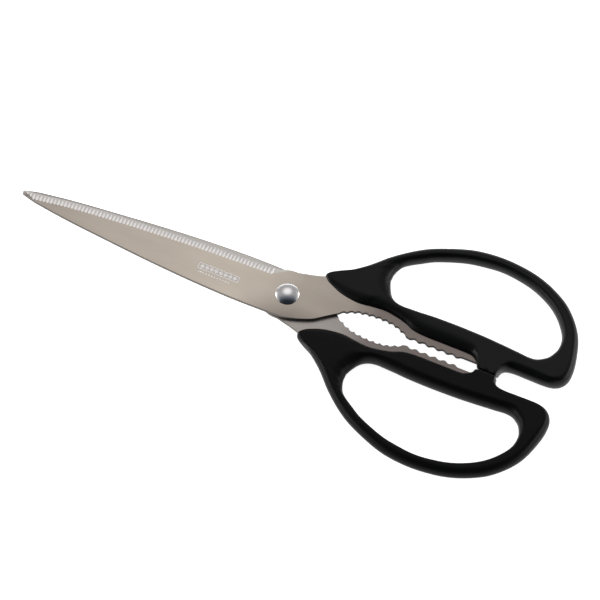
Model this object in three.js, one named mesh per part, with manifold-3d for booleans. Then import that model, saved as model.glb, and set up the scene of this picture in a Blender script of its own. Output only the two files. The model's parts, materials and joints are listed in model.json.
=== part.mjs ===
// Household shears, 246 mm long: two stamped steel halves turn on one rivet, and each half
// carries a moulded handle with a finger loop. Between the handles the steel is cut into a
// toothed jaw. Millimetres, +Z up, lying flat with the blades along -X.
//
// The two halves have one outline. The rear half is the front half turned over about the X axis,
// so every shape below is drawn once, for the front half, with the pivot at 0,0 and the plane
// between the two blades at z = 0.
import * as THREE from "three";
import { mergeVertices } from "three/addons/utils/BufferGeometryUtils.js";
import Module from "manifold-3d";

const wasm = await Module();
wasm.setup();

// Steel halves
const STEEL_THICKNESS = 1.6;
const BLADE_CLEARANCE = 0.1; // from the joint plane to the inner face of each blade
const TIP_X = -122.4;
const TIP_RADIUS = 1.3;
const BEVEL_WIDTH = 3.0;
const BEVEL_LAND = 0.35; // thickness left at the cutting edge
const JAW_START = new THREE.Vector2(23.4, 0.3);
const JAW_TOOTH_PITCH = 3.0;
const JAW_TEETH = 10;
const JAW_TOOTH_DEPTH = 0.7;
const GRIP_START_X = 55.1;
const GRIP_PITCH = 4.28;
const GRIP_WAVES = 5;
const GRIP_LOW_Y = 1.3; // crests of the long waves behind the round jaw
const GRIP_HIGH_Y = 2.1;
const JAW_END_X = 86.6;
const KEY_RADIUS = 2.6; // holes in the tang that the handle's plastic runs through
const KEY_CENTRES = [new THREE.Vector2(24, 13.8), new THREE.Vector2(66, 7.2)];

// Handles
const HANDLE_HALF_THICKNESS = 4.8;
const HANDLE_ROUND_IN = 1.5; // width of the rounded border, seen from above
const HANDLE_ROUND_DOWN = 3.6; // height of the rounded border
const BOLSTER_TIP_X = 11.0;
const BOLSTER_THICKNESS_SHARE = 0.66; // of the full thickness, at the tip of the bolster
const FULL_THICKNESS_X = 34;
const FIT_CLEARANCE = 0.3; // between the tang and the pocket it sits in
const POST_HALF_THICKNESS = 3.4;
const POST_ROUND = 0.9;
const POST_GAP = 0.1; // from the closing line to the face of each stop post

// Pivot
const SHANK_RADIUS = 2.4;
const PIVOT_HOLE_RADIUS = SHANK_RADIUS + FIT_CLEARANCE;
const HEAD_RADIUS = 5.0;
const HEAD_HEIGHT = 1.9;
const PIN_RADIUS = 1.1;
const PIN_HEAD_RADIUS = 4.0;
const PIN_HEAD_HEIGHT = 1.1;
const WASHER_RADIUS = 4.7;
const WASHER_THICKNESS = 0.5;
const STACK_GAP = 0.1; // between pieces stacked on the rivet

const OUTER_FACE_Z = BLADE_CLEARANCE + STEEL_THICKNESS;

const points = (...pairs) => pairs.map(([x, y]) => new THREE.Vector2(x, y));

const smooth = (knots, divisions) =>
  new THREE.SplineCurve(knots).getPoints(divisions);

const smoothLoop = (knots, divisions) =>
  smooth([...knots, knots[0]], divisions).slice(0, -1);

const circle = (centre, radius, divisions = 20) =>
  new THREE.EllipseCurve(centre.x, centre.y, radius, radius).getPoints(divisions).slice(0, -1);

// ---- Solids -----------------------------------------------------------------------------------

function toSolid(geometry) {
  const bare = geometry.index ? geometry.toNonIndexed() : geometry.clone();
  bare.deleteAttribute("normal");
  bare.deleteAttribute("uv");
  const merged = mergeVertices(bare, 1e-4);
  return new wasm.Manifold(
    new wasm.Mesh({
      numProp: 3,
      vertProperties: merged.attributes.position.array,
      triVerts: new Uint32Array(merged.index.array),
    }),
  );
}

function toGeometry(solid) {
  const { vertProperties, triVerts } = solid.getMesh();
  const geometry = new THREE.BufferGeometry();
  geometry.setAttribute("position", new THREE.BufferAttribute(vertProperties, 3));
  geometry.setIndex(new THREE.BufferAttribute(triVerts, 1));
  geometry.computeVertexNormals();
  return geometry;
}

function plate(shape, z, thickness) {
  const geometry = new THREE.ExtrudeGeometry(shape, { depth: thickness, bevelEnabled: false });
  return geometry.translate(0, 0, z);
}

// ---- Steel halves -----------------------------------------------------------------------------

// The spine runs from the tip to the pivot, then the heel turns up into the jaw.
function spineAndHeel() {
  const tip = new THREE.EllipseCurve(
    TIP_X + TIP_RADIUS, 0, TIP_RADIUS, TIP_RADIUS, 0.7 * Math.PI, 1.4 * Math.PI,
  ).getPoints(6);
  const spine = smooth(
    points([-115.6, -2.8], [-99.6, -5.05], [-79.6, -7.05], [-59.6, -8.85], [-39.6, -10.2],
      [-19.6, -10.9], [-1.6, -10.7]),
    18,
  );
  const heel = smooth(
    points([2.4, -10.55], [6.4, -9.6], [10.4, -8.2], [14.4, -6.4], [18.4, -3.4], [21, -1.4]),
    12,
  );
  return [...tip, ...spine, ...heel];
}

// Round jaw: scallops between pointed teeth, along an arched line.
function roundJaw() {
  const crest = smooth(
    points([JAW_START.x, JAW_START.y], [29.4, 3.3], [35.4, 4.5], [41.4, 4.8], [47.4, 4.1],
      [JAW_START.x + JAW_TEETH * JAW_TOOTH_PITCH, 1.7]),
    60,
  );
  const line = [];
  const steps = 4;
  for (let i = 0; i < JAW_TEETH * steps; i += 1) {
    const x = JAW_START.x + (i / steps) * JAW_TOOTH_PITCH;
    const after = crest.findIndex((p) => p.x > x);
    const a = crest[after - 1];
    const b = crest[after];
    const y = THREE.MathUtils.mapLinear(x, a.x, b.x, a.y, b.y);
    line.push(new THREE.Vector2(x, y + JAW_TOOTH_DEPTH * Math.abs(Math.sin((Math.PI * i) / steps))));
  }
  return line;
}

// Long grip: shallow waves, then a plain stretch to the stop post.
function longGrip() {
  const line = [new THREE.Vector2(JAW_START.x + JAW_TEETH * JAW_TOOTH_PITCH, 1.7)];
  const middle = (GRIP_LOW_Y + GRIP_HIGH_Y) / 2;
  const swing = (GRIP_HIGH_Y - GRIP_LOW_Y) / 2;
  const steps = 6;
  for (let i = 0; i <= (GRIP_WAVES + 0.5) * steps; i += 1) {
    const x = GRIP_START_X + (i / steps) * GRIP_PITCH;
    line.push(new THREE.Vector2(x, middle - swing * Math.cos((2 * Math.PI * i) / steps)));
  }
  line.push(new THREE.Vector2(JAW_END_X, GRIP_HIGH_Y));
  return line;
}

// The border of the tang inside the handle, from the end of the jaw back to the heel.
const TANG_BORDER = points([88.4, 4.2], [88.4, 8.6], [86.6, 10.2], [60, 10.2], [46, 10.6],
  [38, 12.4], [33.6, 16.4], [31.4, 20.2], [27, 20.4], [20.4, 18.2], [14.4, 15.6]);

// Top of the heel, the unsharpened step in front of it, and the cutting edge out to the tip.
const HEEL_TOP = points([10.4, 13.6], [6.4, 12.4], [3.4, 11.7], [0.4, 11.0], [-3.6, 10.7], [-7.6, 9.7]);
const CUTTING_EDGE = points([-11.6, 9.5], [-19.6, 9.2], [-39.6, 8.5], [-59.6, 7.4], [-79.6, 6.0],
  [-99.6, 4.1], [-115.6, 1.75], [TIP_X + TIP_RADIUS, 1.05]);

const keyHoles = () => KEY_CENTRES.map((centre) => new THREE.Path(circle(centre, KEY_RADIUS)));

function bladeShape() {
  const edge = smooth(CUTTING_EDGE.slice(0, -1), 24);
  const outline = [...spineAndHeel(), ...roundJaw(), ...longGrip(), ...TANG_BORDER, ...HEEL_TOP, ...edge];
  const shape = new THREE.Shape(outline);
  shape.holes.push(new THREE.Path(circle(new THREE.Vector2(0, 0), PIVOT_HOLE_RADIUS, 32)));
  shape.holes.push(...keyHoles());
  return shape;
}

// One flat cut of the hollow-ground side, laid along the stretch of edge from a to b.
function bevelCut(a, b) {
  const along = new THREE.Vector3(b.x - a.x, b.y - a.y, 0).normalize();
  const outward = new THREE.Vector3(along.y, -along.x, 0);
  const rise = STEEL_THICKNESS - BEVEL_LAND;
  const slope = outward.clone().multiplyScalar(BEVEL_WIDTH).add(new THREE.Vector3(0, 0, -rise)).normalize();
  const normal = new THREE.Vector3().crossVectors(along, slope);
  if (normal.z < 0) normal.negate();
  const depth = 4 * BEVEL_WIDTH;
  const height = 2 * STEEL_THICKNESS;
  const box = new THREE.BoxGeometry(a.distanceTo(b) * 1.04, depth, height).translate(0, 0, height / 2);
  const side = new THREE.Vector3().crossVectors(normal, along);
  const place = new THREE.Matrix4().makeBasis(along, side, normal);
  place.setPosition((a.x + b.x) / 2, (a.y + b.y) / 2, BLADE_CLEARANCE + BEVEL_LAND);
  return toSolid(box.applyMatrix4(place));
}

function bladeGeometry() {
  let blade = toSolid(plate(bladeShape(), BLADE_CLEARANCE, STEEL_THICKNESS));
  for (let i = 0; i + 1 < CUTTING_EDGE.length; i += 1) {
    blade = blade.subtract(bevelCut(CUTTING_EDGE[i], CUTTING_EDGE[i + 1]));
  }
  return toGeometry(blade);
}

// ---- Handles ----------------------------------------------------------------------------------

// Outside of the handle: bolster, top of the loop, rounded back end, then the straight inner side
// and the line along which the steel comes out of the plastic.
function handleShape() {
  const outside = smooth(
    points([BOLSTER_TIP_X, 15.2], [12.9, 17.4], [16.7, 19.4], [24.7, 25.4], [32.7, 33.6], [40.7, 40.3],
      [48.7, 44.9], [60.6, 49.6], [69, 51.5], [78.4, 52.1], [88.3, 51.2], [96.2, 49.2], [103.6, 46.0],
      [110.1, 41.9], [116.1, 35.5], [120.2, 28.7], [123.0, 19.5], [123.8, 13.0], [122.9, 9.0],
      [120.1, 6.2], [116.2, 4.9]),
    60,
  );
  const inside = smooth(
    points([84.4, 4.2], [60.4, 4.3], [54.8, 5.1], [50.4, 7.0], [44.4, 8.5], [39.8, 8.9], [34.4, 8.4],
      [28.4, 7.8], [20.4, 8.8], [14.4, 11.1], [BOLSTER_TIP_X + 0.3, 13.2]),
    30,
  );
  // Run anticlockwise, so that ExtrudeGeometry turns the loop's hole to match it.
  const shape = new THREE.Shape([...outside, new THREE.Vector2(98.4, 4.9), ...inside].reverse());
  const loop = smoothLoop(
    points([36.8, 25], [38.4, 31.0], [43.6, 36.0], [54.1, 41.9], [66.3, 45.7], [78.4, 47.0],
      [92.6, 44.8], [104.2, 39.0], [111.7, 31.2], [114.4, 23.4], [111.7, 16.3], [105.6, 13.3],
      [96.3, 14.0], [82.4, 14.8], [66.4, 14.9], [54.5, 14.4], [46.6, 14.0], [41.4, 16.1],
      [38.1, 20.6]),
    52,
  );
  shape.holes.push(new THREE.Path(loop));
  return shape;
}

// The plastic thins from its full thickness beside the loop to the tip of the bolster.
function thinTowardsBolster(geometry) {
  const position = geometry.attributes.position;
  for (let i = 0; i < position.count; i += 1) {
    const share = THREE.MathUtils.smoothstep(position.getX(i), BOLSTER_TIP_X, FULL_THICKNESS_X);
    const scale = THREE.MathUtils.lerp(BOLSTER_THICKNESS_SHARE, 1, share);
    position.setZ(i, position.getZ(i) * scale);
  }
  return geometry;
}

function roundedPlate(shape, halfThickness, roundIn, roundDown, segments) {
  const depth = 2 * (halfThickness - roundDown);
  return new THREE.ExtrudeGeometry(shape, {
    depth,
    bevelEnabled: true,
    bevelSize: roundIn,
    bevelOffset: -roundIn,
    bevelThickness: roundDown,
    bevelSegments: segments,
  }).translate(0, 0, -depth / 2);
}

// The post reaches from the inner side of the handle to the closing line, where it meets the
// other handle's post and stops the shears.
function stopPost() {
  const shape = new THREE.Shape(points([86.2, POST_GAP], [95.0, POST_GAP]));
  shape.quadraticCurveTo(95.2, 4.9, 99.4, 5.2);
  shape.lineTo(98.4, 9);
  shape.lineTo(83.4, 9);
  shape.lineTo(83.6, 4.6);
  shape.quadraticCurveTo(85.9, 4.0, 86.2, POST_GAP);
  const outline = new THREE.Shape(shape.getPoints(6).slice(0, -1));
  return toSolid(roundedPlate(outline, POST_HALF_THICKNESS, 0.4, POST_ROUND, 2));
}

// The space that the tang takes inside the handle, with its fitting clearance all round.
function tangPocket() {
  const openSide = smooth(points([8, 12.6], [14.4, 8.4], [24, 5.4], [40, 5.6], [56, 2.6]), 12);
  const outline = [...openSide, new THREE.Vector2(JAW_END_X, GRIP_HIGH_Y), ...TANG_BORDER,
    HEEL_TOP[0]];
  const shape = new THREE.Shape(outline);
  shape.holes.push(...keyHoles());
  const pocket = new THREE.ExtrudeGeometry(shape, {
    depth: STEEL_THICKNESS,
    bevelEnabled: true,
    bevelSize: 0,
    bevelOffset: FIT_CLEARANCE,
    bevelThickness: FIT_CLEARANCE,
    bevelSegments: 1,
  });
  return toSolid(pocket.translate(0, 0, BLADE_CLEARANCE));
}

function handleGeometry() {
  const rounded = roundedPlate(
    handleShape(), HANDLE_HALF_THICKNESS, HANDLE_ROUND_IN, HANDLE_ROUND_DOWN, 3,
  );
  const body = toSolid(thinTowardsBolster(rounded));
  return toGeometry(body.add(stopPost()).subtract(tangPocket()));
}

// ---- Pivot ------------------------------------------------------------------------------------

// A profile in the XY plane is turned about Y, then stood up along Z.
function turned(profile, divisions = 40) {
  return new THREE.LatheGeometry(profile, divisions).rotateX(Math.PI / 2);
}

// The low dome of a rivet head: rim first, then up to the crown on the axis.
function dome(radius, height, z) {
  const sphere = (radius * radius + height * height) / (2 * height);
  const steps = 6;
  const line = [];
  for (let i = 0; i <= steps; i += 1) {
    const r = radius * Math.cos((i / steps) * (Math.PI / 2));
    line.push(new THREE.Vector2(i === steps ? 0 : r, z + height - sphere + Math.sqrt(sphere * sphere - r * r)));
  }
  return line;
}

// Domed head and hollow shank. The bore of the shank is open at the back.
function rivetHeadGeometry() {
  const under = OUTER_FACE_Z + STACK_GAP;
  const bore = PIN_RADIUS + STACK_GAP;
  const shankEnd = -OUTER_FACE_Z - 0.2;
  return turned([
    new THREE.Vector2(0, OUTER_FACE_Z),
    new THREE.Vector2(bore, OUTER_FACE_Z),
    new THREE.Vector2(bore, shankEnd),
    new THREE.Vector2(SHANK_RADIUS, shankEnd),
    new THREE.Vector2(SHANK_RADIUS, under),
    new THREE.Vector2(HEAD_RADIUS - 0.2, under),
    ...dome(HEAD_RADIUS, HEAD_HEIGHT - 0.2, under + 0.2),
  ]);
}

// Pin pressed into the shank from behind, with its own low head.
function rivetPinGeometry() {
  const headTop = -OUTER_FACE_Z - WASHER_THICKNESS - 2 * STACK_GAP;
  const head = dome(PIN_HEAD_RADIUS, PIN_HEAD_HEIGHT - 0.3, 0.3 - headTop);
  return turned([
    ...head.reverse().map((p) => new THREE.Vector2(p.x, -p.y)),
    new THREE.Vector2(PIN_HEAD_RADIUS, headTop),
    new THREE.Vector2(PIN_RADIUS, headTop),
    new THREE.Vector2(PIN_RADIUS, OUTER_FACE_Z - 0.4),
    new THREE.Vector2(0, OUTER_FACE_Z - 0.4),
  ]);
}

// Flat washer that the pin's head pulls against the back of the rear blade.
function washerGeometry() {
  const top = -OUTER_FACE_Z - STACK_GAP;
  const centre = new THREE.Vector2(0, 0);
  const ring = new THREE.Shape(circle(centre, WASHER_RADIUS, 40));
  ring.holes.push(new THREE.Path(circle(centre, SHANK_RADIUS + STACK_GAP, 40)));
  return plate(ring, top - WASHER_THICKNESS, WASHER_THICKNESS);
}

// ---- Assembly ---------------------------------------------------------------------------------

const steel = () => new THREE.MeshStandardMaterial({ color: 0xb5aba0, roughness: 0.35, metalness: 1 });
const polished = () => new THREE.MeshStandardMaterial({ color: 0xd0d0d2, roughness: 0.1, metalness: 1 });
const plastic = () => new THREE.MeshStandardMaterial({ color: 0x1a1a1b, roughness: 0.42, metalness: 0 });

function named(name, geometry, material) {
  const mesh = new THREE.Mesh(geometry, material);
  mesh.name = name;
  return mesh;
}

const frontHalf = new THREE.Group();
frontHalf.add(named("front_blade", bladeGeometry(), steel()));
frontHalf.add(named("front_handle", handleGeometry(), plastic()));

const rearHalf = new THREE.Group();
rearHalf.add(named("rear_blade", bladeGeometry(), steel()));
rearHalf.add(named("rear_handle", handleGeometry(), plastic()));
rearHalf.rotation.x = Math.PI;

const pivot = new THREE.Group();
pivot.add(named("rivet_head", rivetHeadGeometry(), polished()));
pivot.add(named("rivet_pin", rivetPinGeometry(), polished()));
pivot.add(named("pivot_washer", washerGeometry(), polished()));

// The origin is the middle of the footprint, at the height of the surface the handles lie on.
const shears = new THREE.Group();
shears.add(frontHalf, rearHalf, pivot);
const box = new THREE.Box3().setFromObject(shears);
shears.position.set(-(box.min.x + box.max.x) / 2, 0, -box.min.z);

export default shears;
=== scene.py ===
import json
import math
import bmesh
import bpy
from mathutils import Matrix, Vector, geometry


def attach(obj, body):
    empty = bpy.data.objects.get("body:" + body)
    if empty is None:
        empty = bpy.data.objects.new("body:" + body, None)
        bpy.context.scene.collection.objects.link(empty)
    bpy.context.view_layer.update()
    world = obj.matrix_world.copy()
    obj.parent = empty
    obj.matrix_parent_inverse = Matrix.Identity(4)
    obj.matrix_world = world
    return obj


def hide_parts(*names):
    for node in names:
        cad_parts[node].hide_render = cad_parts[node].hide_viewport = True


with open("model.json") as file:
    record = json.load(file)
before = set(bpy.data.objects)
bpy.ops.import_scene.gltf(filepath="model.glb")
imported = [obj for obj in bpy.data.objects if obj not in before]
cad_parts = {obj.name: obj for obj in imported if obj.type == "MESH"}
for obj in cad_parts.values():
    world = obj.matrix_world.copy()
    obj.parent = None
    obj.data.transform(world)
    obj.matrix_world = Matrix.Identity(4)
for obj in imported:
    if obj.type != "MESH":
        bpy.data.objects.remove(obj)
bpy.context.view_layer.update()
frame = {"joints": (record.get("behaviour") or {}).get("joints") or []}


# ---- Front steel half ------------------------------------------------------------------------
# Blanked from 1.6 mm stainless sheet, surface ground, then ground to a wide bevel along one edge.
# Its tang runs into the moulded handle. Drawn in millimetres with the pivot at 0,0 and the joint
# plane at z = 0, then placed in metres; the rear half is the same shape turned over.
MM = 0.001
STEEL = 1.6
CLEARANCE = 0.1
INNER_Z = CLEARANCE
OUTER_Z = CLEARANCE + STEEL
TIP_X = -122.38
TIP_RADIUS = 1.3
TIP_STEPS = 14
TIP_FROM, TIP_SWEEP = 0.72, 0.68  # in half turns
TIP_NARROWING = 5.5
TIP_SHARE = 0.3
TAPER_X = TIP_X + TIP_NARROWING
BEVEL_WIDTH = 3.4
BEVEL_LAND = 0.3
BEVEL_END_X = -3.0
BEVEL_RUN_OUT = 7.5
EDGE_BREAK = 0.1
SPINE_BREAK = 0.28
SPINE_BELOW_Y, SPINE_END_X = -1.5, 18.0
PIVOT_HOLE = 2.7
KEY_HOLE = 2.6  # the handle's plastic flows through these two holes in the tang
KEY_PLACES = ((24.0, 13.8), (66.0, 7.2))
SAME_POINT = 1e-4

PIVOT = Vector(frame["joints"][0]["pos_m"])
FRONT = Matrix.Translation(PIVOT) @ Matrix.Scale(MM, 4)
REAR = Matrix.Translation(PIVOT) @ Matrix.Rotation(math.pi, 4, "X") @ Matrix.Scale(MM, 4)


def smooth(knots, steps, closed=False):
    """Points along a uniform Catmull-Rom curve through the knots, each span cut into steps."""
    p = [Vector(k) for k in knots]
    n = len(p)
    line = []
    for i in range(n if closed else n - 1):
        at = (lambda k: p[k % n]) if closed else (lambda k: p[min(max(k, 0), n - 1)])
        a, b, c, d = at(i - 1), at(i), at(i + 1), at(i + 2)
        for s in range(steps):
            t = s / steps
            line.append(
                0.5 * ((2 * b) + (c - a) * t + (2 * a - 5 * b + 4 * c - d) * t * t
                       + (3 * b - a - 3 * c + d) * t ** 3)
            )
    return line if closed else line + [p[-1]]


def ring(x, y, radius, steps=32):
    """A round hole's rim."""
    turn = [2 * math.pi * k / steps for k in range(steps)]
    return [Vector((x + radius * math.cos(a), y + radius * math.sin(a))) for a in turn]


def inset(outline, amounts):
    """The closed anticlockwise outline moved inwards, by its own amount at each point."""
    n = len(outline)
    moved = []
    for i, (p, amount) in enumerate(zip(outline, amounts)):
        along = (outline[(i + 1) % n] - outline[i - 1]).normalized()
        moved.append(p + Vector((-along.y, along.x)) * amount)
    return moved


# The outline's knots, anticlockwise: spine, round jaw, long grip, tang, heel, cutting edge.
SPINE = ((-120.4, -1.62), (-118.6, -2.12), (TAPER_X, -2.52), (-113.6, -3.14), (-99.6, -5.05),
         (-79.6, -7.05), (-59.6, -8.85), (-39.6, -10.2), (-19.6, -10.9), (-1.6, -10.7),
         (2.4, -10.55), (6.4, -9.6), (10.4, -8.2), (14.4, -6.4), (18.4, -3.4), (21, -1.4))
JAW_START = (23.4, 0.3)
JAW_PITCH = 3.0
JAW_TEETH = 10
JAW_DEPTH = 0.75
JAW_ARCH = (JAW_START, (29.4, 3.3), (35.4, 4.5), (41.4, 4.8), (47.4, 4.1), (53.4, 1.7))
GRIP_NOSE_Y = 1.7
GRIP_START = 55.1
GRIP_PITCH = 4.28
GRIP_WAVES = 5.5
GRIP_LOW, GRIP_HIGH = 1.3, 2.1
GRIP_END = 86.6
TANG = ((88.4, 4.2), (88.4, 8.6), (86.6, 10.2), (60, 10.2), (46, 10.6), (38, 12.4),
        (33.6, 16.4), (31.4, 20.2), (27, 20.4), (20.4, 18.2), (14.4, 15.6))
HEEL_TOP = ((10.4, 13.6), (6.4, 12.4), (3.4, 11.7), (0.4, 11.0), (-3.6, 10.7), (-7.6, 9.7))
CUTTING_EDGE = ((-11.6, 9.5), (-19.6, 9.2), (-39.6, 8.5), (-59.6, 7.4), (-79.6, 6.0),
                (-99.6, 4.1), (-112.6, 2.2), (TAPER_X, 1.6), (-120.3, 1.2))


def round_jaw():
    """Scallops between pointed teeth, along an arched line."""
    arch = smooth(JAW_ARCH, 24)
    steps = 10
    line = []
    for i in range(JAW_TEETH * steps):
        x = JAW_START[0] + i / steps * JAW_PITCH
        k = next(j for j, p in enumerate(arch) if p.x > x)
        share = (x - arch[k - 1].x) / (arch[k].x - arch[k - 1].x)
        y = arch[k - 1].y + share * (arch[k].y - arch[k - 1].y)
        line.append(Vector((x, y + JAW_DEPTH * abs(math.sin(math.pi * i / steps)))))
    return line


def long_grip():
    """A low nose, then shallow waves, then a plain stretch to the stop post."""
    steps = 12
    middle, swing = (GRIP_LOW + GRIP_HIGH) / 2, (GRIP_HIGH - GRIP_LOW) / 2
    line = [Vector((JAW_START[0] + JAW_TEETH * JAW_PITCH, GRIP_NOSE_Y))]
    for i in range(int(GRIP_WAVES * steps) + 1):
        x = GRIP_START + i / steps * GRIP_PITCH
        line.append(Vector((x, middle - swing * math.cos(2 * math.pi * i / steps))))
    return line + [Vector((GRIP_END, GRIP_HIGH))]


def bevel_share(x):
    """The blade thins to the tip, and the bevel narrows with it and keeps its slope."""
    return min(max((x - TIP_X) / TIP_NARROWING, TIP_SHARE), 1.0)


def steel_outline():
    """The blank's outline, anticlockwise from the tip, with two shares for each of its points.

    The first is how much of the bevel is ground there, the second how far the tip has thinned it.
    """
    tip = []
    for k in range(TIP_STEPS + 1):
        a = math.pi * (TIP_FROM + TIP_SWEEP * k / TIP_STEPS)
        tip.append(Vector((TIP_X + TIP_RADIUS * (1 + math.cos(a)), TIP_RADIUS * math.sin(a))))
    plain = smooth(SPINE, 8) + round_jaw() + long_grip() + [Vector(p) for p in TANG]
    top = smooth(HEEL_TOP + CUTTING_EDGE, 10)
    shares = [1 - k / TIP_STEPS for k in range(TIP_STEPS + 1)] + [0.0] * len(plain)
    for p in top:
        shares.append(min(max((BEVEL_END_X - p.x) / BEVEL_RUN_OUT, 0.0), 1.0))
    outline = tip + plain + top
    return outline, shares, [bevel_share(p.x) for p in outline]


def shade(mesh, degrees):
    """Smooth faces, with edges sharper than the angle kept crisp."""
    crease = math.radians(degrees)
    bm = bmesh.new()
    bm.from_mesh(mesh)
    for face in bm.faces:
        face.smooth = True
    for edge in bm.edges:
        edge.smooth = len(edge.link_faces) == 2 and edge.calc_face_angle(0.0) < crease
    bm.to_mesh(mesh)
    bm.free()


def new_object(name, mesh):
    made = bpy.data.objects.new(name, mesh)
    bpy.context.scene.collection.objects.link(made)
    return made


def plate(name, rings, holes, hole_levels, fold=None):
    """A closed plate: stacked outlines of equal length, capped below and above, with holes.

    The upper cap can fold along the line between two points of its outline. A face's material
    number is 0 on the caps, and on the rim it counts the band from below.
    """
    bm = bmesh.new()
    levels = [[bm.verts.new((p.x, p.y, z)) for p, z in zip(line, heights)]
              for line, heights in rings]
    pits = [[[bm.verts.new((p.x, p.y, z)) for p in hole] for z in hole_levels] for hole in holes]
    for band, (low, high) in enumerate(zip(levels, levels[1:]), 1):
        n = len(low)
        for i in range(n):
            face = bm.faces.new((low[i], low[(i + 1) % n], high[(i + 1) % n], high[i]))
            face.material_index = band
    for pit in pits:
        n = len(pit[0])
        for i in range(n):
            face = bm.faces.new((pit[0][(i + 1) % n], pit[0][i], pit[1][i], pit[1][(i + 1) % n]))
            face.material_index = 1
    for level, side in ((0, -1), (-1, 1)):
        line = levels[level]
        parts = [[line] + [pit[level] for pit in pits]]
        if fold and side > 0:
            parts[0][0] = line[fold[0]:fold[1] + 1]
            parts.append([line[:fold[0] + 1] + line[fold[1]:]])
        for loops in parts:
            corners = [v for loop in loops for v in loop]
            flat = [[Vector((v.co.x, v.co.y, 0)) for v in loop] for loop in loops]
            for tri in geometry.tessellate_polygon(flat):
                a, b, c = (corners[k] for k in tri)
                normal = (b.co - a.co).cross(c.co - a.co).z
                bm.faces.new((a, b, c) if normal * side > 0 else (a, c, b))
    mesh = bpy.data.meshes.new(name)
    bm.to_mesh(mesh)
    bm.free()
    return new_object(name, mesh)


def steel_half(name):
    """One half's steel: the blank with its bevel, its broken edges and its holes."""
    outline, shares, narrow = steel_outline()
    widths = [s * BEVEL_WIDTH * n for s, n in zip(shares, narrow)]
    on_spine = [p.y < SPINE_BELOW_Y and p.x < SPINE_END_X for p in outline]
    under = inset(outline, [SPINE_BREAK if spine else EDGE_BREAK / 2 for spine in on_spine])
    over = inset(outline, [w + EDGE_BREAK * (1 - s) for w, s in zip(widths, shares)])
    low = INNER_Z + BEVEL_LAND
    top = [low + (OUTER_Z - low) * n for n in narrow]
    shoulder = [t - EDGE_BREAK + s * (low - t + EDGE_BREAK) for s, t in zip(shares, top)]
    n = len(outline)
    rings = ((under, [INNER_Z] * n), (outline, [INNER_Z + EDGE_BREAK] * n),
             (outline, shoulder), (over, top))
    holes = [ring(0, 0, PIVOT_HOLE)] + [ring(x, y, KEY_HOLE, 24) for x, y in KEY_PLACES]
    fold = [i for i, p in enumerate(outline) if abs(p.x - TAPER_X) < SAME_POINT]
    return plate(name, rings, holes, (INNER_Z, OUTER_Z), fold)


class Signal:
    """One socket of a shader tree, so that a material's sums read as sums."""

    def __init__(self, graph, socket):
        self.graph, self.socket = graph, socket

    def sum(self, operation, *values):
        return self.graph.node("ShaderNodeMath", {"operation": operation}, dict(enumerate(values)))

    def __add__(self, other):
        return self.sum("ADD", self, other)

    __radd__ = __add__

    def __sub__(self, other):
        return self.sum("SUBTRACT", self, other)

    def __rsub__(self, other):
        return self.sum("SUBTRACT", other, self)

    def __mul__(self, other):
        return self.sum("MULTIPLY", self, other)

    __rmul__ = __mul__

    def clamped(self):
        return self.graph.node("ShaderNodeClamp", {}, {0: self})


class Finish:
    """A material, or the studio's air, and the one way its nodes are made."""

    def __init__(self, name, owners=None):
        self.material = (bpy.data.materials if owners is None else owners).new(name)
        self.material.use_nodes = True
        self.tree = self.material.node_tree
        self.tree.nodes.clear()

    def node(self, kind, settings, sockets, output=0):
        made = self.tree.nodes.new(kind)
        for key, value in settings.items():
            if key == "stops":
                ramp = made.color_ramp.elements
                while len(ramp) < len(value):
                    ramp.new(0.5)
                for stop, (place, colour) in zip(ramp, value):
                    stop.position, stop.color = place, colour
            else:
                setattr(made, key, value)
        for key, value in sockets.items():
            if isinstance(value, Signal):
                self.tree.links.new(value.socket, made.inputs[key])
            else:
                made.inputs[key].default_value = value
        return Signal(self, made.outputs[output]) if made.outputs else None

    def place(self, scale=(1, 1, 1), turn=(0, 0, 0)):
        """Object coordinates in millimetres, stretched for a grain."""
        here = self.node("ShaderNodeTexCoord", {}, {}, output="Object")
        stretch = tuple(s / MM for s in scale)
        return self.node("ShaderNodeMapping", {}, {"Vector": here, "Rotation": turn, "Scale": stretch})

    def noise(self, where, size, detail=3.0, rough=0.55):
        return self.node("ShaderNodeTexNoise", {}, {"Vector": where, "Scale": size, "Detail": detail,
                                                    "Roughness": rough})

    def rise(self, value, low, high):
        """0 where the value is at low, 1 where it is at high."""
        return self.node("ShaderNodeMapRange", {"clamp": True},
                         {"Value": value, "From Min": low, "From Max": high})

    def blend(self, share, a, b):
        """A colour between a and b."""
        return self.node("ShaderNodeMix", {"data_type": "RGBA"}, {0: share, 6: a, 7: b}, output=2)

    def bump(self, height, strength, distance):
        return self.node("ShaderNodeBump", {}, {"Height": height, "Strength": strength,
                                                "Distance": distance})

    def surface(self, **sockets):
        named = {key.replace("_", " "): value for key, value in sockets.items()}
        shader = self.node("ShaderNodeBsdfPrincipled", {}, named)
        self.node("ShaderNodeOutputMaterial", {}, {"Surface": shader})
        return self.material


def grey(place, value):
    return place, (value, value, value, 1)


# Share of the lighter tone along the steel, whose two ends are in metres from the frame's origin:
# painted light and shade, lighter along the middle of the blade, darker behind the pivot and towards
# the tang, and somewhat darker towards the tip.
PAINTED_LIGHT_FROM, PAINTED_LIGHT_TO = -0.125, 0.09
PAINTED_LIGHT_ALONG = (grey(0.0, 0.48), grey(0.21, 0.73), grey(0.30, 0.78), grey(0.40, 0.93), grey(0.47, 0.95),
              grey(0.53, 0.88), grey(0.60, 0.56), grey(0.70, 0.45), grey(0.76, 0.06), grey(1.0, 0.0))
# The heel's lower side is painted darker, as painted shade: where that starts and is full, along and
# across the blade.
PAINTED_SHADE_HEEL_FROM, PAINTED_SHADE_HEEL_TO = -0.020, 0.004
PAINTED_SHADE_LOWER_FROM, PAINTED_SHADE_LOWER_TO = -0.002, -0.010


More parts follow.
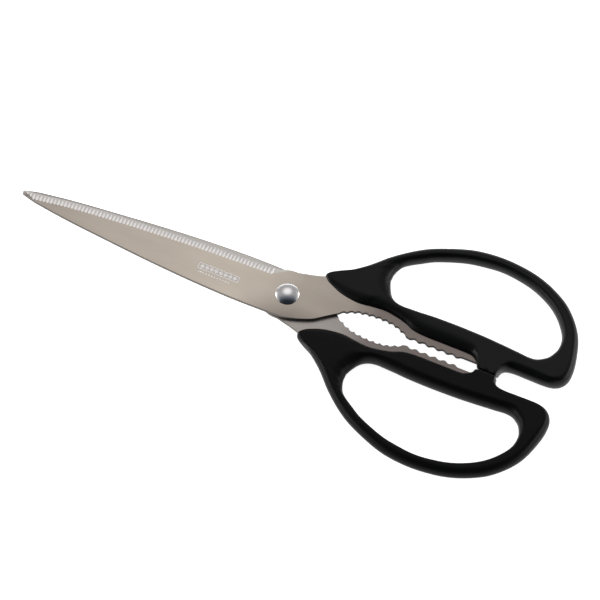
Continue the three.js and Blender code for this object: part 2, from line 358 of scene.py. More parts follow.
def satin_steel(name, light, dark, rough, painted_shade_colour, heel_painted_shade):
    """Surface-ground stainless: a fine grain along the blade, with faint clouding and hairlines.

    Painted light and shade: the faces are painted lighter along the middle of the blade, darker behind
    the pivot and towards the tang and tip, and darker again on the heel's lower side.
    """
    finish = Finish(name)
    here = finish.node("ShaderNodeTexCoord", {}, {}, output="Object")
    along = finish.node("ShaderNodeSeparateXYZ", {}, {0: here}, output="X")
    across = finish.node("ShaderNodeSeparateXYZ", {}, {0: here}, output="Y")
    # Painted light and shade: the share of the lighter tone falls off towards the tip and behind the
    # pivot.
    skin = finish.node("ShaderNodeValToRGB", {"stops": PAINTED_LIGHT_ALONG},
                       {"Fac": finish.rise(along, PAINTED_LIGHT_FROM, PAINTED_LIGHT_TO)})
    heel = finish.rise(along, PAINTED_SHADE_HEEL_FROM, PAINTED_SHADE_HEEL_TO)
    lower = finish.rise(across, PAINTED_SHADE_LOWER_FROM, PAINTED_SHADE_LOWER_TO)
    # Painted shade on the heel's lower side of the outer face.
    skin = skin * (1.0 - heel * lower * heel_painted_shade)
    grain = finish.noise(finish.place((0.02, 2.2, 1.0)), 1.0, 4.0, 0.62)
    hair = finish.noise(finish.place((0.006, 5.0, 1.0), (0, 0, 0.05)), 1.0, 2.0, 0.5)
    cloud = finish.noise(finish.place((0.03, 0.09, 0.06)), 1.0, 3.0, 0.6)
    hairline = finish.rise(hair, 0.66, 0.74)
    ground = finish.blend((grain * 0.7 + cloud * 1.1 - 0.4).clamped(), dark, light)
    tone = finish.blend((skin + cloud * 0.12 - 0.06).clamped(), painted_shade_colour, ground)
    colour = finish.blend(hairline * 0.12, tone, (0.7, 0.67, 0.62, 1))
    roughness = (rough - 0.05 + grain * 0.08 + cloud * 0.06 - hairline * 0.05).clamped()
    return finish.surface(Base_Color=colour, Metallic=1.0, Roughness=roughness,
                          Normal=finish.bump(grain, 0.12, 0.00002))


# The colour of the painted shade on the steel faces and the washer.
PAINTED_SHADE_TONE = (0.150, 0.125, 0.116, 1)
blade_face = satin_steel("ground_steel", (0.55, 0.488, 0.42, 1), (0.43, 0.378, 0.318, 1), 0.33,
                         PAINTED_SHADE_TONE, 0.7)
inner_face = satin_steel("lapped_steel", (0.53, 0.50, 0.47, 1), (0.42, 0.39, 0.36, 1), 0.36,
                         PAINTED_SHADE_TONE, 0.0)


def blanked_steel(name, light, dark):
    """The sheared rim of the blank: torn grain across the sheet, and a colour darker than the faces
    that is partly the sheared steel's own and partly painted shade.
    """
    finish = Finish(name)
    tear = finish.noise(finish.place((3.0, 3.0, 0.35)), 1.0, 3.0, 0.6)
    spots = finish.noise(finish.place((0.5, 0.5, 0.5)), 1.0, 2.0, 0.5)
    colour = finish.blend(tear, dark, light)
    return finish.surface(Base_Color=colour, Metallic=1.0, Roughness=(0.42 + spots * 0.2).clamped(),
                          Normal=finish.bump(tear, 0.4, 0.00004))


# The rim's dark colour is partly the sheared steel's own and partly painted shade on walls that face
# away from the light.
blanked_edge = blanked_steel("blanked_edge", (0.20, 0.185, 0.17, 1), (0.09, 0.085, 0.08, 1))
# The jaws' rims are painted nearly black: painted shade on the walls of the teeth.
painted_shade_jaw = blanked_steel("painted_shade_jaw_rim", (0.035, 0.032, 0.031, 1), (0.008, 0.008, 0.008, 1))


def ground_bevel():
    """The edge grind: bright, with the wheel's marks running across it to the cutting edge."""
    finish = Finish("edge_grind")
    marks = finish.noise(finish.place((4.0, 0.05, 0.05)), 1.0, 3.0, 0.6)
    colour = finish.blend(marks, (0.60, 0.57, 0.545, 1), (0.76, 0.725, 0.70, 1))
    return finish.surface(Base_Color=colour, Metallic=1.0, Roughness=(0.3 + marks * 0.12).clamped(),
                          Normal=finish.bump(marks, 0.2, 0.00002))


edge_grind = ground_bevel()


OUTER, RIM, GRIND, INNER, JAW = range(5)
GRIND_BAND = 3
GRIND_ABOVE_Y = -0.8
JAW_BELOW_Y = 5.8


def dress_steel(piece):
    """Outer face, blanked rim, edge grind, lapped inner face and jaws each get their own finish; the
    jaws' rims are painted nearly black as painted shade.
    """
    mesh = piece.data
    for finish in (blade_face, blanked_edge, edge_grind, inner_face, painted_shade_jaw):
        mesh.materials.append(finish)
    for face in mesh.polygons:
        x, y, band = face.center.x, face.center.y, face.material_index
        if band == GRIND_BAND and y > GRIND_ABOVE_Y and x < BEVEL_END_X:
            face.material_index = GRIND
        elif band:
            face.material_index = JAW if x > JAW_START[0] and y < JAW_BELOW_Y else RIM
        else:
            face.material_index = INNER if face.normal.z < 0 else OUTER


front_blade = steel_half("front_blade_steel")
dress_steel(front_blade)

# Fine serrations: shallow grooves ground across the bevel, one after another along the edge.
# A node tree sets a small round bar on each point of the edge line; the bars are then cut away.
SERRATIONS = 72
GROOVE_RADIUS = 1.2
GROOVE_DEPTH = 0.05
GROOVE_LENGTH = 6.0
GROOVE_DIP = math.radians(2.2)
GROOVES_START = (-10.3, 9.55)
BEVEL_SLOPE = math.atan((STEEL - BEVEL_LAND) / BEVEL_WIDTH)


def tree_with(name, inputs):
    """A node tree from geometry to geometry, with the named inputs."""
    tree = bpy.data.node_groups.new(name, "GeometryNodeTree")
    face = tree.interface
    face.new_socket("Geometry", in_out="INPUT", socket_type="NodeSocketGeometry")
    for label, kind, value in inputs:
        made = face.new_socket(label, in_out="INPUT", socket_type=kind)
        if value is not None:
            made.default_value = value
    face.new_socket("Geometry", in_out="OUTPUT", socket_type="NodeSocketGeometry")
    return tree


def add(tree, kind, settings, sockets):
    """One node of a tree; a socket takes a value, or a link from another node's output."""
    made = tree.nodes.new(kind)
    for key, value in settings.items():
        setattr(made, key, value)
    for key, value in sockets.items():
        if isinstance(value, bpy.types.NodeSocket):
            tree.links.new(value, made.inputs[key])
        else:
            made.inputs[key].default_value = value
    return made


def groove_tree():
    """Bars along a line: each lies square to the line and dips with the slope of the bevel."""
    tree = tree_with("edge_grooves", (
        ("Count", "NodeSocketInt", 10), ("Radius", "NodeSocketFloat", 1.0),
        ("Length", "NodeSocketFloat", 1.0), ("Slope", "NodeSocketFloat", 0.0),
        ("Finish", "NodeSocketMaterial", None)))
    given = add(tree, "NodeGroupInput", {}, {}).outputs
    curve = add(tree, "GeometryNodeMeshToCurve", {}, {"Mesh": given["Geometry"]})
    points = add(tree, "GeometryNodeResampleCurve", {"mode": "COUNT"},
                 {"Curve": curve.outputs[0], "Count": given["Count"]})
    bar = add(tree, "GeometryNodeMeshCylinder", {},
              {"Vertices": 40, "Radius": given["Radius"], "Depth": given["Length"]})
    tangent = add(tree, "GeometryNodeInputTangent", {}, {})
    facing = add(tree, "FunctionNodeAlignRotationToVector", {"axis": "X"},
                 {"Vector": tangent.outputs[0]})
    quarter = add(tree, "ShaderNodeMath", {"operation": "ADD"}, {0: given["Slope"], 1: math.pi / 2})
    tilt = add(tree, "ShaderNodeCombineXYZ", {}, {"X": quarter.outputs[0]})
    turned = add(tree, "FunctionNodeRotateRotation", {"rotation_space": "LOCAL"},
                 {"Rotation": facing.outputs[0], "Rotate By": tilt.outputs[0]})
    bars = add(tree, "GeometryNodeInstanceOnPoints", {},
               {"Points": points.outputs[0], "Instance": bar.outputs[0],
                "Rotation": turned.outputs[0]})
    real = add(tree, "GeometryNodeRealizeInstances", {}, {"Geometry": bars.outputs[0]})
    dressed = add(tree, "GeometryNodeSetMaterial", {},
                  {"Geometry": real.outputs[0], "Material": given["Finish"]})
    add(tree, "NodeGroupOutput", {}, {"Geometry": dressed.outputs[0]})
    return tree


def grown(base, tree, values):
    """The plain mesh that a node tree makes from a base object. The base is used up."""
    modifier = base.modifiers.new("grow", "NODES")
    modifier.node_group = tree
    for item in tree.interface.items_tree:
        if item.item_type == "SOCKET" and item.in_out == "INPUT" and item.name in values:
            modifier[item.identifier] = values[item.name]
    graph = bpy.context.evaluated_depsgraph_get()
    mesh = bpy.data.meshes.new_from_object(base.evaluated_get(graph))
    name = base.name
    bpy.data.objects.remove(base)
    return new_object(name, mesh)


def polyline(name, line):
    mesh = bpy.data.meshes.new(name)
    mesh.from_pydata([tuple(p) for p in line], [(i, i + 1) for i in range(len(line) - 1)], [])
    return new_object(name, mesh)


def cut(piece, cutter):
    """Takes the cutter away from the piece, then throws the cutter away."""
    modifier = piece.modifiers.new("cut", "BOOLEAN")
    modifier.operation, modifier.solver, modifier.object = "DIFFERENCE", "EXACT", cutter
    modifier.material_mode, modifier.use_self = "TRANSFER", True
    graph = bpy.context.evaluated_depsgraph_get()
    mesh = bpy.data.meshes.new_from_object(piece.evaluated_get(graph))
    piece.modifiers.clear()
    old = piece.data
    piece.data = mesh
    bpy.data.meshes.remove(old)
    bpy.data.objects.remove(cutter)


def ground_groove():
    """The grooves are left bright by the fine wheel that cuts them."""
    finish = Finish("bright_groove")
    marks = finish.noise(finish.place((1.0, 0.3, 1.0)), 1.0, 2.0, 0.5)
    colour = finish.blend(marks, (0.88, 0.84, 0.825, 1), (0.98, 0.955, 0.94, 1))
    return finish.surface(Base_Color=colour, Metallic=1.0, Roughness=(0.4 + marks * 0.1).clamped())


bright_groove = ground_groove()


def groove_line():
    """A line above the middle of the bevel, as far over it as the bars' centres."""
    edge = smooth((GROOVES_START,) + CUTTING_EDGE, 12)
    lift = GROOVE_RADIUS - GROOVE_DEPTH
    line = []
    for i, p in enumerate(edge):
        ahead, back = edge[min(i + 1, len(edge) - 1)], edge[max(i - 1, 0)]
        along = (ahead - back).normalized()
        inward = Vector((-along.y, along.x))
        over = p + inward * (BEVEL_WIDTH / 2 - lift * math.sin(BEVEL_SLOPE))
        height = (INNER_Z + BEVEL_LAND + OUTER_Z) / 2 + lift * math.cos(BEVEL_SLOPE)
        line.append((over.x, over.y, height))
    return line


bars = grown(polyline("groove_bars", groove_line()), groove_tree(), {
    "Count": SERRATIONS, "Radius": GROOVE_RADIUS, "Length": GROOVE_LENGTH,
    "Slope": BEVEL_SLOPE - GROOVE_DIP, "Finish": bright_groove})
cut(front_blade, bars)


STEEL_CREASE = 10.5


def settle(piece, place, degrees):
    """Puts the finished mesh in its place in the frame, with the object left at the origin."""
    piece.data.transform(place)
    shade(piece.data, degrees)


# A shallow etched mark: a plain frame holding a row of lozenges, with a row of dots below it.
MARK_LEFT, MARK_RIGHT, MARK_TOP, MARK_BOTTOM = -39.8, -21.3, -0.8, -3.8
MARK_LINE = 0.35
ETCH_DEPTH = 0.05
STAIN_DEPTH = 0.02
OVER_FACE = OUTER_Z + ETCH_DEPTH
# Each row: how many, their pitch, the sides and radius of one, and where the row starts.
MARK_ROWS = ((8, 2.13, 4, 1.02, -38.0, -2.3), (12, 1.28, 8, 0.44, -38.9, -5.1))


def etched_steel():
    """Etching leaves the steel pale and matt."""
    finish = Finish("etched_steel")
    frost = finish.noise(finish.place((2.5, 2.5, 2.5)), 1.0, 3.0, 0.6)
    colour = finish.blend(frost, (0.88, 0.85, 0.82, 1), (1.0, 0.98, 0.96, 1))
    return finish.surface(Base_Color=colour, Metallic=0.75, Roughness=(0.5 + frost * 0.2).clamped())


etched = etched_steel()


def mark_row_tree():
    """Flat prisms set out in a straight row from the base point."""
    tree = tree_with("mark_row", (
        ("Count", "NodeSocketInt", 10), ("Pitch", "NodeSocketFloat", 1.0),
        ("Sides", "NodeSocketInt", 4), ("Radius", "NodeSocketFloat", 0.5),
        ("Depth", "NodeSocketFloat", 0.1), ("Finish", "NodeSocketMaterial", None)))
    given = add(tree, "NodeGroupInput", {}, {}).outputs
    start = add(tree, "GeometryNodeInputPosition", {}, {})
    first = add(tree, "GeometryNodeSampleIndex", {"data_type": "FLOAT_VECTOR"},
                {"Geometry": given["Geometry"], "Value": start.outputs[0]})
    step = add(tree, "ShaderNodeCombineXYZ", {}, {"X": given["Pitch"]})
    line = add(tree, "GeometryNodeMeshLine", {},
               {"Count": given["Count"], "Start Location": first.outputs[0],
                "Offset": step.outputs[0]})
    prism = add(tree, "GeometryNodeMeshCylinder", {},
                {"Vertices": given["Sides"], "Radius": given["Radius"], "Depth": given["Depth"]})
    prisms = add(tree, "GeometryNodeInstanceOnPoints", {},
                 {"Points": line.outputs[0], "Instance": prism.outputs["Mesh"]})
    real = add(tree, "GeometryNodeRealizeInstances", {}, {"Geometry": prisms.outputs[0]})
    dressed = add(tree, "GeometryNodeSetMaterial", {},
                  {"Geometry": real.outputs[0], "Material": given["Finish"]})
    add(tree, "NodeGroupOutput", {}, {"Geometry": dressed.outputs[0]})
    return tree


def mark_frame(step):
    """The corners of the mark's frame, drawn in by a step from its outer edge."""
    left, right = MARK_LEFT + step, MARK_RIGHT - step
    low, high = MARK_BOTTOM + step, MARK_TOP - step
    return [Vector(c) for c in ((left, low), (right, low), (right, high), (left, high))]


def mark_ground():
    """The floor of the mark is stained darker than the face round it."""
    finish = Finish("stained_mark")
    stain = finish.noise(finish.place((0.9, 0.9, 0.9)), 1.0, 3.0, 0.6)
    colour = finish.blend(stain, (0.46, 0.41, 0.37, 1), (0.60, 0.55, 0.50, 1))
    return finish.surface(Base_Color=colour, Metallic=0.9, Roughness=(0.4 + stain * 0.1).clamped())


def etch_flat(name, outline, holes, depth, finish):
    """Cuts a flat floor of the given finish into the front blade's face, inside the outline."""
    low = OUTER_Z - depth
    n = len(outline)
    cutter = plate(name, ((outline, [low] * n), (outline, [OVER_FACE] * n)), holes, (low, OVER_FACE))
    for face in cutter.data.polygons:
        face.material_index = 0
    cutter.data.materials.append(finish)
    cut(front_blade, cutter)


mark_rows = mark_row_tree()
etch_flat("mark_ground", mark_frame(MARK_LINE / 2), [], STAIN_DEPTH, mark_ground())
etch_flat("mark_frame", mark_frame(0.0), [mark_frame(MARK_LINE)], ETCH_DEPTH, etched)
for count, pitch, sides, radius, x, y in MARK_ROWS:
    row = grown(polyline("mark_row", [(x, y, OUTER_Z)]), mark_rows, {
        "Count": count, "Pitch": pitch, "Sides": sides, "Radius": radius,
        "Depth": 2 * ETCH_DEPTH, "Finish": etched})
    cut(front_blade, row)

settle(front_blade, FRONT, STEEL_CREASE)
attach(front_blade, "front_half")
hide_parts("front_blade")


# ---- Rear steel half -------------------------------------------------------------------------
# The same blank and bevel as the front half, turned over and laid under it. Its edge is ground
# plain, without serrations, and its face carries no mark.
rear_blade = steel_half("rear_blade_steel")
dress_steel(rear_blade)
settle(rear_blade, REAR, STEEL_CREASE)
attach(rear_blade, "rear_half")
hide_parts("rear_blade")


# ---- Front handle ----------------------------------------------------------------------------
# Black plastic moulded round the tang: a bolster tapering onto the steel, a closed finger loop,
# and a stop post that stands out from the outline between them. Lofted from sections that each
# run from the outside of the handle to the loop.
HALF_THICK = 4.799
BOLSTER_X = 11.0
FULL_X = 34.0
BOLSTER_SHARE = 0.56
RING_THINNER = 1.0
THINNER_FROM_Y, THINNER_TO_Y = 14.0, 40.0
POST_SLANT = 0.3
POST_ROOT_Y = 9.0
POST_NEAR_SIDE, POST_FAR_SIDE = (83.0, 86.0), (95.5, 99.0)
LEAST_SQUARE = 0.45

# Each section: outside x, y; loop side x, y; border radius outside and loop side.
SECTIONS = (
    (11.2, 14, 37.2, 23.7, 1.8, 6.5),
    (11.1, 15.3, 37.2, 24.8, 1.8, 6.5),
    (11.8, 16.5, 37.2, 25.8, 2.2, 6.5),
    (13.4, 17.5, 37.3, 27, 2.8, 6.5),
    (16.8, 19.05, 37.7, 28.6, 3.6, 6.5),
    (21.2, 22.1, 38.3, 30.2, 3.6, 5),
    (26.6, 26.8, 39.4, 32.2, 3.6, 5),
    (32.9, 33.4, 41.4, 34.2, 3.6, 3),
    (40.9, 40.1, 45.6, 36.9, 3.4, 2.6),
    (48.8, 44.8, 51.4, 40.3, 3, 2.4),
    (60.6, 49.6, 61.8, 44.3, 3.3, 2),
    (69, 51.5, 69.6, 45.9, 3.3, 2),
    (78.4, 52.09, 78.4, 46.7, 3.3, 2),
    (88.3, 51.2, 87.2, 45.7, 3.3, 2),
    (96.2, 49.3, 94.4, 43.8, 3.3, 2),
    (103.6, 46.15, 101.4, 40.5, 3.3, 2),
    (110.2, 42, 106.6, 36.7, 3.3, 2),
    (116.3, 35.6, 110.9, 31.8, 2.8, 2.2),
    (120.3, 28.8, 113.5, 27, 3, 2.4),
    (123.05, 19.5, 113.9, 21.6, 3, 2.6),
    (123.79, 13, 112.1, 17.2, 3, 3),
    (122.9, 9, 109.9, 15, 3, 3),
    (120.1, 6.2, 107.3, 13.6, 2.8, 3),
    (115.4, 4.9, 104, 13.3, 3.2, 3),
    (106.5, 4.9, 99.6, 13.7, 3.2, 3),
    (101.6, 5, 96.6, 13.9, 3, 3),
    (98.3, 4.7, 95, 14.05, 2.4, 3),
    (96.5, 3.5, 94.2, 14.1, 1.6, 3),
    (95.7, 1.9, 93.6, 14.15, 1.1, 3),
    (95.2, 0.5, 93, 14.2, 0.7, 3),
    (94.2, 0.2, 92.4, 14.25, 0.5, 3),
    (90.8, 0.2, 90, 14.4, 0.5, 3),
    (87.3, 0.2, 87, 14.6, 0.5, 3),
    (86.2, 0.5, 86, 14.65, 0.7, 3),
    (85.7, 1.5, 85.2, 14.7, 1.2, 3),
    (84.7, 2.7, 84.2, 14.75, 1.9, 3),
    (83.2, 3.7, 82.4, 14.8, 3.2, 3),
    (80.4, 4.3, 79, 14.9, 5.2, 3),
    (70, 4.35, 70, 15, 6, 3),
    (60.4, 4.4, 61, 14.8, 6, 3),
    (54.8, 5.15, 55, 14.4, 5.6, 3),
    (50.4, 7, 50.6, 14.1, 4.4, 2.6),
    (44.4, 8.5, 46.8, 13.95, 3.9, 2.6),
    (39.8, 8.9, 43.8, 14.5, 4.4, 3),
    (34.4, 8.3, 41.6, 15.8, 4.8, 3.2),
    (28.4, 7.6, 39.8, 18, 5.2, 5),
    (20.4, 8.6, 38.3, 20.8, 5, 6.5),
    (14.4, 10.9, 37.5, 22.8, 4.2, 6.5),
    (12.3, 12.5, 37.3, 23.3, 2.6, 6.5),
)
SECTION_STEPS = 6
BORDER_STEPS = 9
BORDER_FULLNESS = 1.08
FACE_STEPS = 9


def ease(value, low, high):
    """0 up to low, 1 from high, and a soft rise between."""
    t = min(max((value - low) / (high - low), 0.0), 1.0)
    return t * t * (3 - 2 * t)


def handle_height(x, y):
    """Half the thickness: thin at the bolster, full beside the loop, a little less round it."""
    full = HALF_THICK - RING_THINNER * ease(y, THINNER_FROM_Y, THINNER_TO_Y)
    return full * (BOLSTER_SHARE + (1 - BOLSTER_SHARE) * ease(x, BOLSTER_X, FULL_X))


def leaned(p, z):
    """The end of the stop post leans, so that the two posts meet on a slanted face."""
    on_post = ease(p.x, *POST_NEAR_SIDE) * (1 - ease(p.x, *POST_FAR_SIDE))
    return p.y - POST_SLANT * on_post * z * max(1 - p.y / POST_ROOT_Y, 0.0)


def squareness(line, i, across):
    """How squarely the section meets the border at point i, as a sine."""
    along = (line[(i + 1) % len(line)] - line[i - 1]).normalized()
    return max(abs(along.x * across.y - along.y * across.x), LEAST_SQUARE)


def over_section(near, far, width):
    """From the outside to the loop: how far across each point is, and its share of the height."""
    points = []
    for k in range(BORDER_STEPS + 1):
        a = math.pi / 2 * k / BORDER_STEPS
        points.append((near * (1 - math.cos(a)) ** BORDER_FULLNESS, math.sin(a)))
    for k in range(1, FACE_STEPS):
        points.append((near + (width - near - far) * k / FACE_STEPS, 1.0))
    for k in range(BORDER_STEPS + 1):
        a = math.pi / 2 * (1 - k / BORDER_STEPS)
        points.append((width - far * (1 - math.cos(a)) ** BORDER_FULLNESS, math.sin(a)))
    return points


def handle_body(name):
    """The closed moulding: one row of points round each section, joined to the next row."""
    outside = smooth([s[0:2] for s in SECTIONS], SECTION_STEPS, closed=True)
    loop = smooth([s[2:4] for s in SECTIONS], SECTION_STEPS, closed=True)
    radii = smooth([s[4:6] for s in SECTIONS], SECTION_STEPS, closed=True)
    bm = bmesh.new()
    rows = []
    for i, (o, q, r) in enumerate(zip(outside, loop, radii)):
        across = q - o
        width = across.length
        across.normalize()
        near = r.x / squareness(outside, i, across)
        far = r.y / squareness(loop, i, across)
        squeeze = min(1.0, width / (near + far))
        section = over_section(near * squeeze, far * squeeze, width)
        upper = [(o + across * d, h * handle_height(*(o + across * d))) for d, h in section]
        lower = [(p, -z) for p, z in reversed(upper[1:-1])]
        rows.append([bm.verts.new((p.x, leaned(p, z), z)) for p, z in upper + lower])
    n, m = len(rows), len(rows[0])
    for i in range(n):
        for k in range(m):
            a, b = rows[i], rows[(i + 1) % n]
            bm.faces.new((a[k], b[k], b[(k + 1) % m], a[(k + 1) % m]))
    bmesh.ops.recalc_face_normals(bm, faces=bm.faces)
    mesh = bpy.data.meshes.new(name)
    bm.to_mesh(mesh)
    bm.free()
    return new_object(name, mesh)


def moulded_plastic(name, shine):
    """Black moulded plastic: a fine even texture from the tool, slightly polished by hands."""
    finish = Finish(name)
    skin = finish.noise(finish.place((9.0, 9.0, 9.0)), 1.0, 2.0, 0.6)
    flow = finish.noise(finish.place((0.05, 0.05, 0.05)), 1.0, 3.0, 0.5)
    colour = finish.blend(flow, (0.0028, 0.0028, 0.0030, 1), (0.0052, 0.0050, 0.0048, 1))
    rough = (0.30 + skin * 0.06 + flow * 0.08).clamped()
    return finish.surface(Base_Color=colour, Roughness=rough, Specular_IOR_Level=shine,
                          Normal=finish.bump(skin, 0.25, 0.00003))


ROUND_CREASE = 40.0


def handle(name, place, shine):
    piece = handle_body(name)
    piece.data.materials.append(moulded_plastic(name + "_plastic", shine))
    settle(piece, place, ROUND_CREASE)
    return piece


FRONT_SHINE = 0.125
front_handle = handle("front_handle_moulding", FRONT, FRONT_SHINE)
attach(front_handle, "front_half")
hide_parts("front_handle")


# ---- Rear handle -----------------------------------------------------------------------------
# The same black plastic moulding as the front handle, turned over and moulded round the rear
# blade's tang, and a little less shiny.
REAR_SHINE = 0.065
rear_handle = handle("rear_handle_moulding", REAR, REAR_SHINE)
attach(rear_handle, "rear_half")
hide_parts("rear_handle")


# ---- Pivot rivet -----------------------------------------------------------------------------
# A domed head with a hollow shank, polished; a pin with a low head is pressed in from behind and
# holds a flat washer against the rear blade.
HEAD_RADIUS = 5.0
HEAD_HEIGHT = 1.9
HEAD_RIM = 0.15
HEAD_GAP = 0.1
UNDER_HEAD = OUTER_Z + HEAD_GAP
SHANK = 2.4
SHANK_END = -OUTER_Z - 0.2
BORE = 1.2
BORE_TOP = OUTER_Z
TURN_STEPS = 96


def turned(name, profile):
    """A closed solid turned about the pivot's axis from a profile of radius and height."""
    bm = bmesh.new()
    verts = [bm.verts.new((r, 0, z)) for r, z in profile]
    edges = [bm.edges.new(pair) for pair in zip(verts, verts[1:])]
    bmesh.ops.spin(bm, geom=verts + edges, axis=(0, 0, 1), cent=(0, 0, 0), steps=TURN_STEPS,
                   angle=2 * math.pi, use_merge=True)
    bmesh.ops.remove_doubles(bm, verts=bm.verts, dist=SAME_POINT)
    bmesh.ops.recalc_face_normals(bm, faces=bm.faces)
    mesh = bpy.data.meshes.new(name)
    bm.to_mesh(mesh)
    bm.free()
    return new_object(name, mesh)


def dome(radius, height, base, steps=14):
    """Radius and height from the rim to the crown of a spherical cap."""
    sphere = (radius * radius + height * height) / (2 * height)
    line = []
    for k in range(steps + 1):
        r = radius * math.cos(math.pi / 2 * k / steps)
        z = base + height - sphere + math.sqrt(sphere * sphere - r * r)
        line.append((0.0 if k == steps else r, z))
    return line


def polished_steel():
    """Mirror-polished steel with faint turning marks and a few wiping scratches."""
    finish = Finish("polished_rivet")
    wipe = finish.noise(finish.place((0.4, 3.0, 1.0), (0, 0, 0.5)), 1.0, 4.0, 0.6)
    haze = finish.noise(finish.place((0.4, 0.4, 0.4)), 1.0, 2.0, 0.5)
    colour = finish.blend(haze, (0.59, 0.57, 0.57, 1), (0.69, 0.675, 0.675, 1))
    return finish.surface(Base_Color=colour, Metallic=1.0, Roughness=(0.16 + wipe * 0.1).clamped(),
                          Normal=finish.bump(wipe, 0.05, 0.00001))


polished_rivet = polished_steel()

rivet_head = turned("rivet_head_polished", [
    (0, BORE_TOP), (BORE, BORE_TOP), (BORE, SHANK_END), (SHANK, SHANK_END), (SHANK, UNDER_HEAD),
    (HEAD_RADIUS - HEAD_RIM, UNDER_HEAD),
    *dome(HEAD_RADIUS, HEAD_HEIGHT - HEAD_RIM, UNDER_HEAD + HEAD_RIM)])
rivet_head.data.materials.append(polished_rivet)
settle(rivet_head, FRONT, ROUND_CREASE)
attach(rivet_head, "rear_half")
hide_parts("rivet_head")

WASHER = 0.5
PIN_RADIUS = 1.1
PIN_END = OUTER_Z - 0.4
PIN_HEAD_TOP = -OUTER_Z - WASHER - 0.2
PIN_HEAD_RADIUS = 4.0
PIN_HEAD_DOME, PIN_HEAD_RIM = 0.8, 0.3
PIN_HEAD_BREAK = 0.1
rivet_pin = turned("rivet_pin_polished", [
    *[(r, -z) for r, z in reversed(dome(PIN_HEAD_RADIUS, PIN_HEAD_DOME, PIN_HEAD_RIM - PIN_HEAD_TOP))],
    (PIN_HEAD_RADIUS - PIN_HEAD_BREAK, PIN_HEAD_TOP), (PIN_RADIUS, PIN_HEAD_TOP),
    (PIN_RADIUS, PIN_END), (0, PIN_END)])
rivet_pin.data.materials.append(polished_rivet)
settle(rivet_pin, FRONT, ROUND_CREASE)
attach(rivet_pin, "rear_half")
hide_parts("rivet_pin")

WASHER_TOP = -OUTER_Z - HEAD_GAP
WASHER_UNDER = WASHER_TOP - WASHER
WASHER_HOLE = 2.5
WASHER_RADIUS = 4.7
WASHER_BREAK = 0.08
washer = turned("washer_steel", [
    (WASHER_HOLE, WASHER_TOP), (WASHER_HOLE, WASHER_UNDER),
    (WASHER_RADIUS - WASHER_BREAK, WASHER_UNDER), (WASHER_RADIUS, WASHER_UNDER + WASHER_BREAK),
    (WASHER_RADIUS, WASHER_TOP - WASHER_BREAK), (WASHER_RADIUS - WASHER_BREAK, WASHER_TOP),
    (WASHER_HOLE, WASHER_TOP)])
washer.data.materials.append(blade_face)
settle(washer, FRONT, ROUND_CREASE)
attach(washer, "rear_half")
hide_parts("pivot_washer")


# ---- Studio ----------------------------------------------------------------------------------
# A pale floor in an even white tent with a soft box overhead, bright boxes low at both sides, a
# bright skirt behind, and a dark open front, so that the steel reads grey and the black handles
# keep soft lines of light.
CAMERA_TILT = math.radians(26.34)
CAMERA_TURN = math.radians(23.6)
CAMERA_DISTANCE = 2.2936
LOOK_AT = PIVOT + Vector((0.00567, 0.00024, 0.0))
LENS = 327.7
SENSOR_WIDTH = 36.0
FARTHEST = 20.0

right = Vector((math.cos(CAMERA_TURN), math.sin(CAMERA_TURN), 0))
uphill = Vector((-math.sin(CAMERA_TURN), math.cos(CAMERA_TURN), 0))
towards = Vector((0, 0, math.cos(CAMERA_TILT))) - uphill * math.sin(CAMERA_TILT)
camera_data = bpy.data.cameras.new("camera")
camera_data.lens = LENS
camera_data.sensor_width = SENSOR_WIDTH
camera_data.clip_end = FARTHEST
camera = new_object("camera", camera_data)
camera.matrix_world = Matrix.Translation(LOOK_AT + towards * CAMERA_DISTANCE) @ Matrix(
    (right, towards.cross(right), towards)).transposed().to_4x4()
bpy.context.scene.camera = camera

FLOOR_REACH = 3.0
FLOOR_GLOW = 0.95
floor_mesh = bpy.data.meshes.new("floor")
floor_mesh.from_pydata([(x * FLOOR_REACH, y * FLOOR_REACH, 0)
                        for x, y in ((-1, -1), (1, -1), (1, 1), (-1, 1))], [], [(0, 1, 2, 3)])
floor = new_object("floor", floor_mesh)
pale = Finish("pale_floor")
floor_mesh.materials.append(pale.surface(
    Base_Color=(0.85, 0.85, 0.85, 1), Roughness=0.9, Specular_IOR_Level=0.1,
    Emission_Color=(1, 1, 1, 1), Emission_Strength=FLOOR_GLOW))


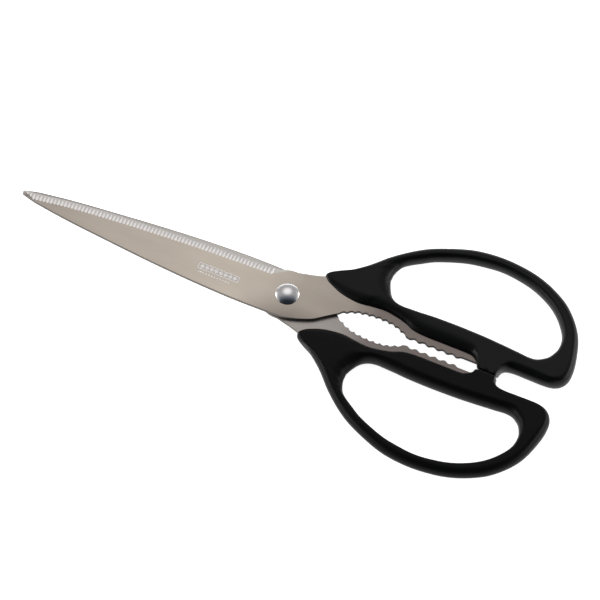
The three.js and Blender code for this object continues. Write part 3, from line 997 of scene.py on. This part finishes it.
# Brightness of the tent's parts, and the span over which each fades in. A span is of how nearly a
# direction points up, away or to a side, as a cosine.
TENT_WALL = 0.5
ROOF_BOX, ROOF_BOX_LEAN = 0.88, math.radians(32.0)
ROOF_BOX_SPAN = (math.cos(0.54), math.cos(0.05))
SIDE_BOX = 6.5
SIDE_BOX_SPAN, SIDE_BOX_TOP = (0.78, 0.93), (0.42, 0.2)
FAR_SKIRT = 1.6
FAR_SKIRT_SPAN, FAR_SKIRT_TOP = (0.6, 0.9), (0.16, 0.04)
FRONT_SPAN, FRONT_SIDES = (0.3, -0.5), (0.9, 0.7)
FRONT_DARKENING = 0.94


def tent_light():
    """The light from each direction of a white tent: soft boxes, an open front, a bright skirt."""
    tent = Finish("tent", bpy.data.worlds)
    ray = tent.node("ShaderNodeTexCoord", {}, {}, output="Generated")

    def towards_side(direction):
        return tent.node("ShaderNodeVectorMath", {"operation": "DOT_PRODUCT"},
                         {0: ray, 1: tuple(direction)}, output="Value")

    def fade_in(value, span, full=1.0):
        return tent.node("ShaderNodeMapRange", {"clamp": True, "interpolation_type": "SMOOTHSTEP"},
                         {"Value": value, "From Min": span[0], "From Max": span[1], "To Max": full})

    side, far, high = towards_side(right), towards_side(uphill), towards_side((0, 0, 1))
    sides = tent.node("ShaderNodeMath", {"operation": "ABSOLUTE"}, {0: side})
    box = uphill * math.sin(ROOF_BOX_LEAN) + Vector((0, 0, math.cos(ROOF_BOX_LEAN)))
    light = TENT_WALL + fade_in(towards_side(box), ROOF_BOX_SPAN, ROOF_BOX)
    light = light + fade_in(sides, SIDE_BOX_SPAN, SIDE_BOX) * fade_in(high, SIDE_BOX_TOP)
    light = light + fade_in(far, FAR_SKIRT_SPAN, FAR_SKIRT) * fade_in(high, FAR_SKIRT_TOP)
    front = fade_in(far, FRONT_SPAN) * fade_in(sides, FRONT_SIDES)
    light = light * (1.0 - front * FRONT_DARKENING)
    colour = tent.blend(front, (1.0, 1.0, 1.0, 1), (0.55, 0.75, 1.0, 1))
    air = tent.node("ShaderNodeBackground", {}, {"Color": colour, "Strength": light})
    tent.node("ShaderNodeOutputWorld", {}, {"Surface": air})
    return tent.material


bpy.context.scene.world = tent_light()
bpy.context.scene.view_settings.view_transform = "Standard"
